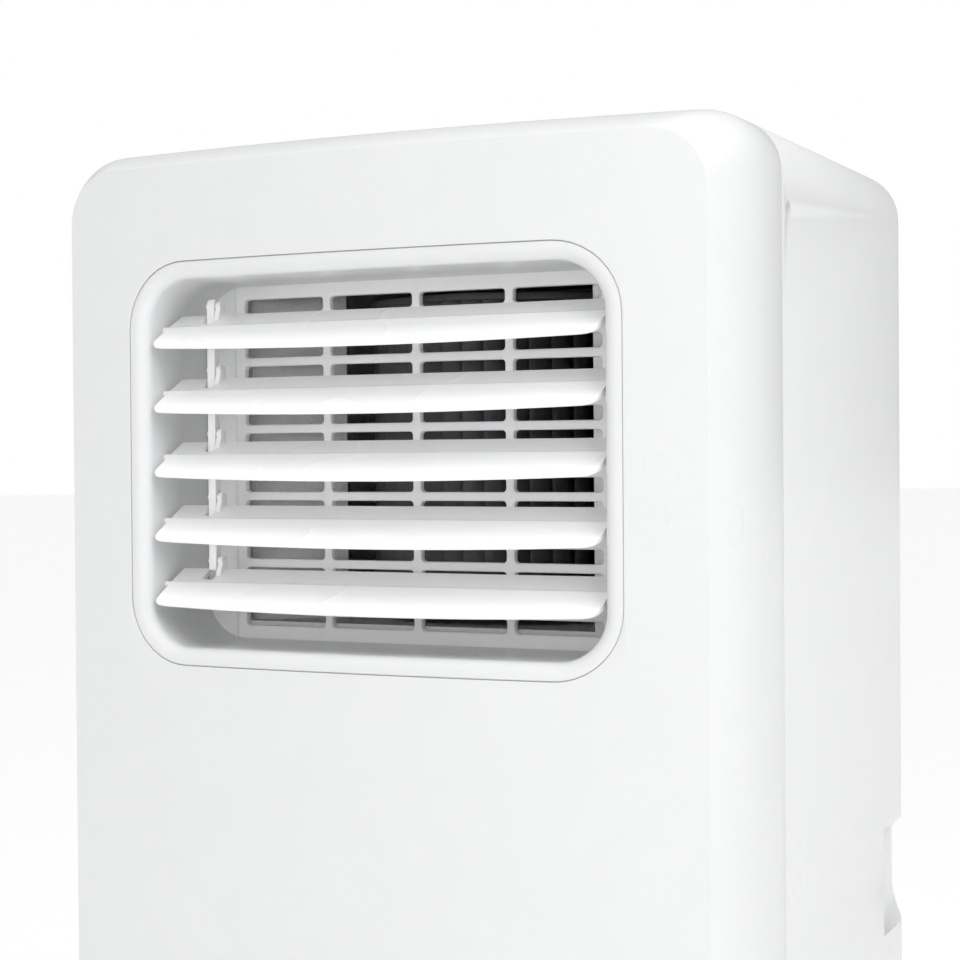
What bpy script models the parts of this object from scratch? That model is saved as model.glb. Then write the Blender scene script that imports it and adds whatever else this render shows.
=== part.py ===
"""Compact portable air conditioner, in metres, +Z up, front towards -Y, origin under the middle of the floor."""

import math

import bmesh
import bpy
from mathutils import Matrix, Vector

# Overall size
HALF_WIDTH = 0.155
HEIGHT = 0.692
FRONT_Y = -0.140
REAR_Y = 0.136
BACK_LIMIT_Y = 0.140
WALL = 0.003
GAP = 0.0003

# Casing shape
SEAM_Y = -0.0720
BOW = 0.47
BOW_HALF = 0.144
EDGE_RADIUS = 0.077
EDGE_ANGLE = math.radians(31)
REAR_EDGE = 0.024
CORNER = 0.022
CASING_BOTTOM = 0.046
BASE_BOTTOM = 0.034
BASE_RIM_TOP = 0.060

# Air outlet
OUTLET_Z = 0.5565
TRIM_HALF = (0.1116, 0.084)
TRIM_CORNER = 0.028
THROAT_HALF = (0.1035, 0.077)
THROAT_CORNER = 0.020
TRIM_RING_DEPTH = 0.008
TRIM_WALL = 0.0022
LIP_RADIUS = 0.0055
GRILLE_Y = -0.0868
GRILLE_THICK = 0.0032
GRILLE_COLUMNS = 4
GRILLE_ROWS = 15
SLOT = (0.0394, 0.0060)
SLOT_PITCH = (0.0431, 0.00975)

# Louvres
LOUVRES = 5
LOUVRE_PITCH = 0.0271
LOUVRE_RISE = 0.0025
LOUVRE_Y = -0.120
LOUVRE_TILT = math.radians(30)
LOUVRE_HALF = 0.1010
LOUVRE_BACK = 0.012
LOUVRE_FRONT = (0.0185, 0.0148)
PIVOT_PIN_R = 0.0014
LINK_X = (-0.0862, -0.0824)
LINK_PIN = (0.008, 0.010)

# Evaporator blower
BLOWER_XY = (0.012, -0.0075)
BLOWER_R = 0.0675
BLOWER_Z = (0.4905, 0.6275)
BLOWER_BLADES = 43
FLOOR_Z = 0.487

# Condenser fan
EXHAUST_XZ = (-0.030, 0.170)
EXHAUST_R = 0.066
EXHAUST_Y = (0.036, 0.077)
EXHAUST_BLADES = 24
COLLAR_Z = 0.345
COLLAR_BORE = 0.0605

# Controls on top, just behind the seam
PANEL_Y = -0.042
PANEL_HALF = (0.085, 0.020)
BUTTON_XS = (-0.064, -0.048, -0.032, 0.032, 0.048, 0.064)
BUTTON_R = 0.0052
DISPLAY_HALF = (0.019, 0.008)

# Intakes, grips and small fittings
UPPER_INTAKE = ((-0.105, 0.105), (0.480, 0.650))
LOWER_INTAKE = ((-0.105, 0.105), (0.082, 0.265))
GRIP_Z = (0.346, 0.386)
GRIP_Y = 0.082
GRIP_DEPTH = 0.0085
SCREW_YZ = (-0.063, HEIGHT - 0.0363)
CORD_XZ = (0.119, 0.074)
DRAIN_XZ = (-0.119, 0.074)

# Casters
CASTER_XY = (0.113, 0.090)
CASTER_WHEEL_R = 0.014
CASTER_TRAIL = 0.007

WHITE = (0.86, 0.86, 0.86)
STEEL = (0.55, 0.56, 0.58)
COPPER = (0.72, 0.38, 0.22)
FOAM = (0.62, 0.62, 0.61)


def clear_scene():
    for old in list(bpy.data.objects):
        bpy.data.objects.remove(old)


# ---------------------------------------------------------------- building blocks

def mesh_object(name, vertices, faces):
    mesh = bpy.data.meshes.new(name)
    mesh.from_pydata([tuple(v) for v in vertices], [], faces)
    shape = bmesh.new()
    shape.from_mesh(mesh)
    bmesh.ops.recalc_face_normals(shape, faces=shape.faces)
    shape.to_mesh(mesh)
    shape.free()
    piece = bpy.data.objects.new(name, mesh)
    bpy.context.collection.objects.link(piece)
    return piece


def settle(piece):
    """Makes the piece's modifiers part of its mesh."""
    bpy.context.view_layer.update()
    depsgraph = bpy.context.evaluated_depsgraph_get()
    mesh = bpy.data.meshes.new_from_object(piece.evaluated_get(depsgraph))
    piece.modifiers.clear()
    piece.data = mesh
    return piece


def combine(piece, operation, others):
    for other in others:
        step = piece.modifiers.new(operation.lower(), "BOOLEAN")
        step.operation = operation
        step.object = other
    settle(piece)
    for other in others:
        bpy.data.objects.remove(other)
    return piece


def cut(piece, *others):
    return combine(piece, "DIFFERENCE", others)


def join(piece, *others):
    return combine(piece, "UNION", others)


def loft(name, loops, wrap=False):
    """Skin through loops of equal length; without wrap, both end loops are filled as strips."""
    count = len(loops[0])
    vertices = [point for loop in loops for point in loop]
    faces = []
    spans = len(loops) if wrap else len(loops) - 1
    for ring in range(spans):
        start = ring * count
        after = ((ring + 1) % len(loops)) * count
        for k in range(count):
            following = (k + 1) % count
            faces.append((start + k, start + following, after + following, after + k))
    if not wrap:
        for start in (0, (len(loops) - 1) * count):
            for k in range(count // 2 - 1):
                faces.append((start + k, start + k + 1, start + count - 2 - k, start + count - 1 - k))
    return mesh_object(name, vertices, faces)


def prism(name, outline, axis, low, high):
    """An outline extruded along an axis; its two coordinates are the other axes in X, Y, Z order."""
    def place(point, height):
        spot = list(point)
        spot.insert("XYZ".index(axis), height)
        return spot
    count = len(outline)
    vertices = [place(p, low) for p in outline] + [place(p, high) for p in outline]
    faces = [(k, (k + 1) % count, count + (k + 1) % count, count + k) for k in range(count)]
    faces += [tuple(range(count)), tuple(range(count, 2 * count))]
    return mesh_object(name, vertices, faces)


def box(name, xs, ys, zs):
    outline = [(xs[0], ys[0]), (xs[1], ys[0]), (xs[1], ys[1]), (xs[0], ys[1])]
    return prism(name, outline, "Z", zs[0], zs[1])


def circle(centre, radius, sides=24):
    return [
        (centre[0] + radius * math.cos(math.tau * k / sides),
         centre[1] + radius * math.sin(math.tau * k / sides))
        for k in range(sides)
    ]


def turned(name, profile, centre, axis="Z", sides=24, wrap=False):
    """Profile points (radius, place along the axis) spun round an axis through centre; wrap makes a ring."""
    along = Vector({"X": (1, 0, 0), "Y": (0, 1, 0), "Z": (0, 0, 1)}[axis])
    first = Vector((1, 0, 0)) if axis != "X" else Vector((0, 1, 0))
    second = along.cross(first)
    middle = Vector(centre)
    vertices = []
    for radius, place in profile:
        for k in range(sides):
            turn = math.tau * k / sides
            vertices.append(middle + along * place + (first * math.cos(turn) + second * math.sin(turn)) * radius)
    faces = []
    spans = len(profile) if wrap else len(profile) - 1
    for ring in range(spans):
        start = ring * sides
        after = ((ring + 1) % len(profile)) * sides
        for k in range(sides):
            following = (k + 1) % sides
            faces.append((start + k, start + following, after + following, after + k))
    if not wrap:
        faces.append(tuple(range(sides)))
        faces.append(tuple(range((len(profile) - 1) * sides, len(profile) * sides)))
    piece = mesh_object(name, vertices, faces)
    piece.data.shade_smooth()
    piece.data.set_sharp_from_angle(angle=math.radians(35))
    return piece


def tube(name, route, radius, steps=4):
    """A round pipe along a smooth curve through the route's points."""
    points = [Vector(p) for p in route]
    ends = [points[0] * 2 - points[1]] + points + [points[-1] * 2 - points[-2]]
    path = []
    for k in range(1, len(ends) - 2):
        a, b, c, d = ends[k - 1:k + 3]
        for step in range(steps):
            t = step / steps
            path.append(0.5 * (2 * b + (c - a) * t + (2 * a - 5 * b + 4 * c - d) * t ** 2
                               + (3 * b - a - 3 * c + d) * t ** 3))
    path.append(points[-1])
    curve = bpy.data.curves.new(name, "CURVE")
    curve.dimensions = "3D"
    curve.bevel_depth = radius
    curve.bevel_resolution = 2
    curve.use_fill_caps = True
    line = curve.splines.new("POLY")
    line.points.add(len(path) - 1)
    for point, spot in zip(line.points, path):
        point.co = (*spot, 1.0)
    piece = bpy.data.objects.new(name, curve)
    bpy.context.collection.objects.link(piece)
    return piece


def paint(piece, colour, roughness, metallic=0.0):
    material = bpy.data.materials.new(piece.name + "_finish")
    material.use_nodes = True
    shader = material.node_tree.nodes["Principled BSDF"]
    shader.inputs["Base Color"].default_value = (*colour, 1.0)
    shader.inputs["Roughness"].default_value = roughness
    shader.inputs["Metallic"].default_value = metallic
    piece.data.materials.clear()
    piece.data.materials.append(material)
    return piece


# ---------------------------------------------------------------- outlines

def bow(x):
    """How far the bowed front falls back at this distance from the middle."""
    return BOW * min(abs(x), BOW_HALF) ** 2


def rounded_outline(half, low, high, radius, corner_steps=3, width_steps=6):
    """(x, z) points, left to right along the top and back along the bottom at the same x places."""
    turns = [math.pi / 2 * k / corner_steps for k in range(corner_steps + 1)]
    straight = half - radius
    stations = [(-straight - radius * math.cos(t), radius * (1 - math.sin(t))) for t in turns]
    stations += [(-straight + 2 * straight * k / width_steps, 0.0) for k in range(1, width_steps)]
    stations += [(straight + radius * math.sin(t), radius * (1 - math.cos(t))) for t in turns]
    top = [(x, high - drop) for x, drop in stations]
    bottom = [(x, low + drop) for x, drop in reversed(stations)]
    return top + bottom


def outlet_outline(half, radius, grow=0.0):
    half_x, half_z = half[0] + grow, half[1] + grow
    return rounded_outline(half_x, OUTLET_Z - half_z, OUTLET_Z + half_z, radius + grow, 5, 6)


def front_edge(inset, steps):
    """(draw, depth) points of the front edge, from the plateau's crease to where it is level with the side."""
    radius = EDGE_RADIUS - inset
    depth = EDGE_RADIUS * math.sin(EDGE_ANGLE)
    start = math.asin((depth - inset) / radius)
    turns = [start * (1 - k / steps) for k in range(steps + 1)]
    return [(EDGE_RADIUS - radius * math.cos(t), depth - radius * math.sin(t)) for t in turns]


def footprint(inset):
    """(x, y) outline of the casing seen from above."""
    half = HALF_WIDTH - inset
    edge = front_edge(inset, 4)
    crease = HALF_WIDTH - edge[0][0]
    front = [crease * (k / 5 - 1) for k in range(11)]
    outline = [(x, FRONT_Y + inset + bow(x)) for x in front]
    outline += [(HALF_WIDTH - draw, FRONT_Y + depth + bow(HALF_WIDTH - draw)) for draw, depth in edge[1:]]
    rear = REAR_Y - inset
    round_off = REAR_EDGE - inset
    for k in range(5):
        turn = math.pi / 2 * k / 4
        outline.append((half - round_off * (1 - math.cos(turn)), rear - round_off * (1 - math.sin(turn))))
    left = [(-x, y) for x, y in reversed(outline[len(front):])]
    return outline + left


def spiral(centre, start, end, first_radius, last_radius, steps):
    """Points of a scroll wall whose radius changes evenly from the start angle to the end angle."""
    points = []
    for k in range(steps + 1):
        share = k / steps
        turn = math.radians(start + (end - start) * share)
        radius = first_radius + (last_radius - first_radius) * share
        points.append((centre[0] + radius * math.cos(turn), centre[1] + radius * math.sin(turn)))
    return points


# ---------------------------------------------------------------- casing

def front_block(name, inset, back):
    """The front shell's outer or inner solid: a bowed plateau, a crease, a long shallow edge and straight sides."""
    loops = []
    for draw, depth in front_edge(inset, 4):
        outline = rounded_outline(HALF_WIDTH - draw, CASING_BOTTOM - 0.03, HEIGHT - draw, CORNER, 4, 8)
        loops.append([(x, FRONT_Y + depth + bow(x), z) for x, z in outline])
    loops.append([(x, back, z) for x, _, z in loops[-1]])
    return loft(name, loops)


def rear_block(name, inset, front):
    edge = REAR_EDGE - inset
    loops = []
    outline = rounded_outline(HALF_WIDTH - inset, CASING_BOTTOM - 0.03, HEIGHT - inset, CORNER, 4, 1)
    loops.append([(x, front, z) for x, z in outline])
    for k in range(5):
        turn = math.pi / 2 * k / 4
        draw = inset + edge * (1 - math.cos(turn))
        outline = rounded_outline(HALF_WIDTH - draw, CASING_BOTTOM - 0.03, HEIGHT - draw, CORNER, 4, 1)
        depth = REAR_Y - inset - edge * (1 - math.sin(turn))
        loops.append([(x, depth, z) for x, z in outline])
    return loft(name, loops)


def below_casing():
    return box("below", (-0.2, 0.2), (-0.2, 0.2), (-0.1, CASING_BOTTOM))


def opening(intake, grow=0.0):
    (left, right), (low, high) = intake
    return box("opening", (left - grow, right + grow), (0.12, 0.16), (low - grow, high + grow))


def make_front_panel():
    panel = front_block("front_panel", 0.0, SEAM_Y - GAP / 2)
    hollow = front_block("hollow", WALL, SEAM_Y + 0.02)
    window = prism("window", outlet_outline(TRIM_HALF, TRIM_CORNER, 0.0004), "Y", -0.16, -0.10)
    cut(panel, hollow, window, below_casing())
    return paint(panel, WHITE, 0.3)


def make_rear_casing():
    casing = rear_block("rear_casing", 0.0, SEAM_Y + GAP / 2)
    cut(casing, rear_block("hollow", WALL, SEAM_Y - 0.02))
    additions = []
    removals = [below_casing(), opening(UPPER_INTAKE), opening(LOWER_INTAKE)]
    removals.append(box("top_hole", (-PANEL_HALF[0], PANEL_HALF[0]),
                        (PANEL_Y - PANEL_HALF[1], PANEL_Y + PANEL_HALF[1]), (HEIGHT - 0.01, HEIGHT + 0.01)))
    removals.append(prism("exhaust", circle((0, COLLAR_Z), 0.0645, 32), "Y", 0.12, 0.15))
    removals.append(prism("cord", circle(CORD_XZ, 0.0063, 12), "Y", 0.12, 0.15))
    removals.append(prism("drain", circle(DRAIN_XZ, 0.0083, 12), "Y", 0.12, 0.15))
    for side in (-1, 1):
        outer = (HALF_WIDTH - 0.002) * side
        low, high = GRIP_Z
        backing = [(0.1425, GRIP_Y - 0.004), (0.1535, GRIP_Y - 0.004), (0.1535, 0.1120), (0.1500, 0.1235),
                   (0.1465, 0.1285), (0.1425, 0.1300)]
        backing = [(x * side, y) for x, y in backing]
        additions.append(prism("backing", backing, "Z", low - 0.016, high + 0.006))
        floor, mouth = (HALF_WIDTH - GRIP_DEPTH) * side, 0.16 * side
        corners = [(floor, low), (floor, high - 0.009), (mouth, high + 0.004), (mouth, low - 0.013)]
        removals.append(prism("grip", corners, "Y", GRIP_Y, 0.16))
        boss = circle(SCREW_YZ, 0.0062, 12)
        reach = (0.142 * side, outer)
        additions.append(prism("boss", boss, "X", min(reach), max(reach)))
        bore = circle(SCREW_YZ, 0.0035, 16)
        reach = (0.147 * side, 0.16 * side)
        removals.append(prism("bore", bore, "X", min(reach), max(reach)))
        pilot = circle(SCREW_YZ, 0.0017, 8)
        reach = (0.1435 * side, 0.148 * side)
        removals.append(prism("pilot", pilot, "X", min(reach), max(reach)))
    join(casing, *additions)
    cut(casing, *removals)
    return paint(casing, WHITE, 0.3)


def make_base_pan():
    pan = prism("base_pan", footprint(0.0), "Z", BASE_BOTTOM, CASING_BOTTOM - GAP)
    join(pan, prism("rim", footprint(WALL + 0.0005), "Z", BASE_BOTTOM + 0.004, BASE_RIM_TOP))
    hollow = prism("hollow", footprint(WALL + 0.0030), "Z", BASE_BOTTOM + 0.006, BASE_RIM_TOP + 0.01)
    sockets = []
    for x in (-CASTER_XY[0], CASTER_XY[0]):
        for y in (-CASTER_XY[1], CASTER_XY[1]):
            sockets.append(prism("socket", circle((x, y), 0.0045, 12), "Z", 0.02, BASE_BOTTOM + 0.02))
    cut(pan, hollow, *sockets)
    return paint(pan, (0.25, 0.25, 0.26), 0.55)


def make_side_screw(name, side):
    y, z = SCREW_YZ
    seat = 0.147 + GAP
    profile = [(0.0013, 0.1440), (0.0013, seat), (0.0031, seat), (0.0031, seat + 0.0012), (0.0018, seat + 0.0020)]
    profile = [(radius, place * side) for radius, place in profile]
    return paint(turned(name, profile, (0, y, z), "X", 12), STEEL, 0.35, 1.0)


# ---------------------------------------------------------------- air outlet

def make_outlet_trim():
    """A flush ring that follows the bow, a rounded lip, and a straight throat back to the grille."""
    outer = outlet_outline(TRIM_HALF, TRIM_CORNER)
    throat = outlet_outline(THROAT_HALF, THROAT_CORNER)
    sleeve = outlet_outline(THROAT_HALF, THROAT_CORNER, TRIM_WALL)
    lip_start = outlet_outline(THROAT_HALF, THROAT_CORNER, LIP_RADIUS)
    back = GRILLE_Y - GAP

    def on_front(outline, behind):
        return [(x, FRONT_Y + bow(x) + behind, z) for x, z in outline]

    loops = [on_front(outer, TRIM_RING_DEPTH), on_front(outer, 0.0003), on_front(lip_start, 0.0003)]
    for k in (1, 2, 3):
        turn = math.pi / 2 * k / 3
        grow = LIP_RADIUS * (1 - math.sin(turn))
        loops.append(on_front(outlet_outline(THROAT_HALF, THROAT_CORNER, grow),
                              0.0003 + LIP_RADIUS * (1 - math.cos(turn))))
    loops.append([(x, back, z) for x, z in throat])
    loops.append([(x, back, z) for x, z in sleeve])
    loops.append(on_front(sleeve, TRIM_RING_DEPTH))
    trim = loft("outlet_trim", loops, wrap=True)
    sockets = []
    for k in range(LOUVRES):
        spot = (LOUVRE_Y, louvre_height(k))
        for side in (-1, 1):
            reach = sorted((side * (THROAT_HALF[0] - 0.004), side * 0.13))
            sockets.append(prism("socket", circle(spot, PIVOT_PIN_R + 0.0005, 10), "X", *reach))
    cut(trim, *sockets)
    return paint(trim, WHITE, 0.3)


def slotted_plate(name, xs, ys, zs, columns, rows, slot, pitch):
    """A flat plate with rows and columns of oblong holes centred on it."""
    middle_x, middle_z = sum(xs) / 2, sum(zs) / 2

    def edges(count, size, step, middle, low, high):
        places = [low]
        for k in range(count):
            centre = middle + (k - (count - 1) / 2) * step
            places += [centre - size / 2, centre + size / 2]
        return places + [high]

    x_edges = edges(columns, slot[0], pitch[0], middle_x, *xs)
    z_edges = edges(rows, slot[1], pitch[1], middle_z, *zs)
    shape = bmesh.new()
    corners = {(i, j): shape.verts.new((x, ys[0], z))
               for i, x in enumerate(x_edges) for j, z in enumerate(z_edges)}
    for i in range(len(x_edges) - 1):
        for j in range(len(z_edges) - 1):
            if i % 2 == 1 and j % 2 == 1:
                continue
            shape.faces.new([corners[i, j], corners[i + 1, j], corners[i + 1, j + 1], corners[i, j + 1]])
    extruded = bmesh.ops.extrude_face_region(shape, geom=shape.faces[:])
    moved = [item for item in extruded["geom"] if isinstance(item, bmesh.types.BMVert)]
    bmesh.ops.translate(shape, verts=moved, vec=(0, ys[1] - ys[0], 0))
    bmesh.ops.recalc_face_normals(shape, faces=shape.faces)
    mesh = bpy.data.meshes.new(name)
    shape.to_mesh(mesh)
    shape.free()
    plate = bpy.data.objects.new(name, mesh)
    bpy.context.collection.objects.link(plate)
    return plate


def make_outlet_grille():
    half_x, half_z = THROAT_HALF[0] + 0.004, THROAT_HALF[1] + 0.004
    grille = slotted_plate("outlet_grille", (-half_x, half_x), (GRILLE_Y, GRILLE_Y + GRILLE_THICK),
                           (OUTLET_Z - half_z, OUTLET_Z + half_z), GRILLE_COLUMNS, GRILLE_ROWS, SLOT, SLOT_PITCH)
    return paint(grille, (0.70, 0.70, 0.70), 0.4)


def louvre_height(k):
    return OUTLET_Z + LOUVRE_RISE + LOUVRE_PITCH * (2 - k)


def link_pin_in_louvre():
    """The link pin's place in a level louvre's own frame (y, z)."""
    y, z = LINK_PIN
    turn = -LOUVRE_TILT
    return (y * math.cos(turn) - z * math.sin(turn), y * math.sin(turn) + z * math.cos(turn))


def louvre_mesh():
    """One level louvre about its pivot: a blade with a bowed front edge, end pins, and a lug for the link."""
    loops = []
    stations = (-1.0, -0.975, -0.93, -0.5, 0.0, 0.5, 0.93, 0.975, 1.0)
    for share in stations:
        reach = LOUVRE_FRONT[1] + (LOUVRE_FRONT[0] - LOUVRE_FRONT[1]) * (1 - share ** 2)
        round_off = max(0.0, share - 0.93) / 0.07
        reach -= 0.007 * (1 - math.sqrt(max(0.0, 1 - round_off ** 2)))
        section = [(LOUVRE_BACK, -0.0008), (LOUVRE_BACK, 0.0008), (0.002, 0.0011), (-reach + 0.0025, 0.0012),
                   (-reach, -0.0002), (-reach + 0.0003, -0.0017), (-reach + 0.0028, -0.0018), (0.002, -0.0013)]
        loops.append([(share * LOUVRE_HALF, y, z) for y, z in section])
    blade = loft("blade", loops)
    pin = prism("pin", circle((0, 0), PIVOT_PIN_R, 8), "X", -LOUVRE_HALF - 0.0032, LOUVRE_HALF + 0.0032)
    notch = box("notch", (LINK_X[0] - 0.0012, LINK_X[1] + 0.0008), (0.0026, 0.03), (-0.01, 0.01))
    pin_y, pin_z = link_pin_in_louvre()
    lug_outline = [(pin_y - 0.0075, 0.0), (LOUVRE_BACK - 0.0002, 0.0), (pin_y + 0.0018, pin_z),
                   (pin_y + 0.0010, pin_z + 0.0018), (pin_y - 0.0010, pin_z + 0.0018), (pin_y - 0.0018, pin_z)]
    lug = prism("lug", lug_outline, "X", LINK_X[1] + 0.0008, LINK_X[1] + 0.0030)
    stud = prism("stud", circle((pin_y, pin_z), 0.0011, 8), "X", LINK_X[0] - 0.0008, LINK_X[1] + 0.0020)
    cut(blade, notch)
    join(blade, pin, lug, stud)
    mesh = blade.data
    bpy.data.objects.remove(blade)
    mesh.shade_smooth()
    mesh.set_sharp_from_angle(angle=math.radians(40))
    return mesh


def make_louvres():
    mesh = louvre_mesh()
    for k in range(LOUVRES):
        louvre = bpy.data.objects.new(f"louvre_{k + 1}", mesh.copy())
        bpy.context.collection.objects.link(louvre)
        louvre.location = (0, LOUVRE_Y, louvre_height(k))
        louvre.rotation_euler = (LOUVRE_TILT, 0, 0)
        paint(louvre, (0.90, 0.90, 0.90), 0.3)


def make_louvre_link():
    """A flat bar with a rounded top that ties the louvres together; its origin is the first pin."""
    y = LOUVRE_Y + LINK_PIN[0]
    low = louvre_height(LOUVRES - 1) + LINK_PIN[1] - 0.004
    high = louvre_height(0) + LINK_PIN[1]
    outline = [(y - 0.0020, low), (y + 0.0020, low), (y + 0.0020, high)]
    outline += [(y + 0.0020 * math.cos(t), high + 0.0032 * math.sin(t))
                for t in (math.pi / 6 * k for k in range(1, 6))]
    outline.append((y - 0.0020, high))
    link = prism("louvre_link", outline, "X", *LINK_X)
    holes = []
    for k in range(LOUVRES):
        spot = (y, louvre_height(k) + LINK_PIN[1])
        holes.append(prism("hole", circle(spot, 0.0014, 8), "X", LINK_X[0] - 0.01, LINK_X[1] + 0.01))
    cut(link, *holes)
    origin = Vector((0, y, high))
    link.data.transform(Matrix.Translation(-origin))
    link.location = origin
    return paint(link, (0.88, 0.88, 0.88), 0.35)


# ---------------------------------------------------------------- air movers

def blade_outline(inner, outer, sweep, thickness, turn):
    """A blade's outline between two radii, swept forward as it goes out."""
    outline = []
    for face in (0.5, -0.5):
        side = []
        for share in (0, 1):
            radius = inner + (outer - inner) * share
            angle = turn + sweep * share + face * thickness / radius
            side.append((radius * math.cos(angle), radius * math.sin(angle)))
        outline += side if face > 0 else side[::-1]
    return outline


def make_wheel(name, radius, length, blades, sweep, hub_height):
    """A drum of swept blades on a back disc with a hub, standing along +Z from its back disc at z = 0."""
    wheel = turned(name, [(0.0043, 0.0), (radius - 0.0005, 0.0), (radius - 0.0005, 0.0015), (0.012, 0.0015),
                          (0.009, hub_height), (0.0043, hub_height)], (0, 0, 0), "Z", 32, wrap=True)
    rim = turned("rim", [(radius - 0.0145, length - 0.003), (radius, length - 0.003), (radius, length),
                         (radius - 0.0145, length)], (0, 0, 0), "Z", 32, wrap=True)
    vertices = []
    faces = []
    for k in range(blades):
        outline = blade_outline(radius - 0.0135, radius - 0.0015, sweep, 0.0012, math.tau * k / blades)
        start = len(vertices)
        count = len(outline)
        vertices += [(x, y, 0.0008) for x, y in outline] + [(x, y, length - 0.0010) for x, y in outline]
        faces += [(start + j, start + (j + 1) % count, start + count + (j + 1) % count, start + count + j)
                  for j in range(count)]
        faces += [tuple(range(start, start + count)), tuple(range(start + count, start + 2 * count))]
    cage = mesh_object("cage", vertices, faces)
    join(wheel, cage)
    join(wheel, rim)
    return wheel


def make_blower_wheel():
    low, high = BLOWER_Z
    wheel = make_wheel("blower_wheel", BLOWER_R, high - low, BLOWER_BLADES, -0.16, 0.022)
    wheel.location = (*BLOWER_XY, low)
    return paint(wheel, (0.10, 0.10, 0.105), 0.5)


def make_blower_scroll():
    """A foam scroll round the wheel: a floor and walls that open towards the grille."""
    left, right, front, back = -0.1460, 0.1460, GRILLE_Y + GRILLE_THICK + GAP, 0.086
    wall = spiral(BLOWER_XY, 217, -47, 0.0790, 0.0985, 20)
    tip = wall[-1]
    outline = [(left, back), (left, front), (-0.093, front)] + wall
    outline += [(tip[0], front), (right, front), (right, back)]
    scroll = prism("blower_scroll", outline, "Z", FLOOR_Z - 0.004, 0.6405)
    floor = box("floor", (left, right), (front, back), (FLOOR_Z - 0.009, FLOOR_Z))
    join(scroll, floor)
    cut(scroll, prism("shaft_hole", circle(BLOWER_XY, 0.0060, 12), "Z", 0.45, 0.50))
    return paint(scroll, FOAM, 0.9)


def make_scroll_lid():
    front, back = GRILLE_Y + GRILLE_THICK + GAP, 0.086
    lid = box("scroll_lid", (-0.146, 0.146), (front, back), (0.6408, 0.6448))
    cut(lid, prism("inlet", circle(BLOWER_XY, 0.0560, 24), "Z", 0.63, 0.66))
    mouth = turned("mouth", [(0.0530, 0.6390), (0.0545, 0.6390), (0.0600, 0.6430), (0.0600, 0.6462),
                             (0.0550, 0.6450)], (*BLOWER_XY, 0), "Z", 24, wrap=True)
    join(lid, mouth)
    return paint(lid, (0.55, 0.55, 0.55), 0.6)


def make_motor(name, centre, axis, radius, body, shaft_end):
    low, high = body
    outward = 1 if shaft_end > high else -1
    near, far = (low, high) if outward > 0 else (high, low)
    profile = [(radius * 0.55, near), (radius * 0.92, near + 0.004 * outward), (radius, near + 0.012 * outward),
               (radius, far - 0.012 * outward), (radius * 0.92, far - 0.004 * outward), (0.014, far),
               (0.004, far), (0.004, shaft_end)]
    motor = turned(name, profile, centre, axis, 16)
    return paint(motor, (0.30, 0.31, 0.33), 0.4, 0.7)


def make_exhaust_wheel():
    wheel = make_wheel("exhaust_wheel", EXHAUST_R, EXHAUST_Y[1] - EXHAUST_Y[0], EXHAUST_BLADES, 0.16, 0.018)
    wheel.rotation_euler = (-math.pi / 2, 0, 0)
    wheel.location = (EXHAUST_XZ[0], EXHAUST_Y[0], EXHAUST_XZ[1])
    return paint(wheel, (0.12, 0.12, 0.125), 0.5)


def make_exhaust_scroll():
    """A hollow scroll and riser; air enters its rear mouth from the condenser and leaves to the collar."""
    def outline(inset):
        wall = spiral(EXHAUST_XZ, 123, 360, 0.0790 - inset, 0.1000 - inset, 18)
        right = wall[-1][0]
        top = 0.4125 - inset
        return [(-0.070 + inset, top), (-0.070 + inset, wall[0][1] + 0.002)] + wall + [(right, top)]

    scroll = prism("exhaust_scroll", outline(0.0), "Y", 0.0310, 0.0835)
    chamber = prism("chamber", outline(0.0022), "Y", 0.0332, 0.0813)
    inlet = prism("inlet", circle(EXHAUST_XZ, 0.0520, 20), "Y", 0.075, 0.10)
    outlet = prism("outlet", circle((0, COLLAR_Z), COLLAR_BORE, 24), "Y", 0.075, 0.10)
    shaft = prism("shaft", circle(EXHAUST_XZ, 0.0060, 12), "Y", 0.02, 0.05)
    cut(scroll, chamber, inlet, outlet, shaft)
    return paint(scroll, (0.16, 0.16, 0.17), 0.6)


def make_exhaust_collar():
    flange_back = REAR_Y + GAP
    profile = [(COLLAR_BORE, 0.0838), (0.0630, 0.0838), (0.0630, flange_back), (0.0720, flange_back),
               (0.0720, 0.1385), (0.0705, BACK_LIMIT_Y), (COLLAR_BORE + 0.0010, BACK_LIMIT_Y),
               (COLLAR_BORE, BACK_LIMIT_Y - 0.0015)]
    return paint(turned("exhaust_collar", profile, (0, 0, COLLAR_Z), "Y", 32, wrap=True), (0.80, 0.80, 0.80), 0.35)


# ---------------------------------------------------------------- refrigeration

def make_coil(name, zs):
    """A fin block with end plates and return bends on its left end."""
    ys = (0.0905, 0.1170)
    coil = box(name, (-0.124, 0.124), ys, zs)
    plates = [box("plate", (x, x + 0.002), (ys[0] - 0.0008, ys[1] + 0.0008), (zs[0] - 0.001, zs[1] + 0.001))
              for x in (-0.1255, 0.1235)]
    bends = []
    rows = int((zs[1] - zs[0]) / 0.042)
    for k in range(rows):
        z = zs[0] + 0.021 + 0.042 * k
        middle = (-0.124, sum(ys) / 2)
        arc = [(middle[0] - 0.0105 * math.sin(t), z - 0.0105 * math.cos(t)) for t in
               (math.pi / 6 * j for j in range(7))]
        inner = [(middle[0] - 0.0045 * math.sin(t), z - 0.0045 * math.cos(t)) for t in
                 (math.pi / 6 * j for j in range(7))]
        outline = [(0.003 + middle[0], arc[0][1])] + arc + [(0.003 + middle[0], arc[-1][1])]
        outline += [(0.003 + middle[0], inner[-1][1])] + inner[::-1] + [(0.003 + middle[0], inner[0][1])]
        bends.append(prism("bend", outline, "Y", middle[1] - 0.003, middle[1] + 0.003))
    join(coil, *plates)
    for bend in bends:
        join(coil, bend)
    return paint(coil, (0.70, 0.71, 0.72), 0.4, 0.9)


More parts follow.
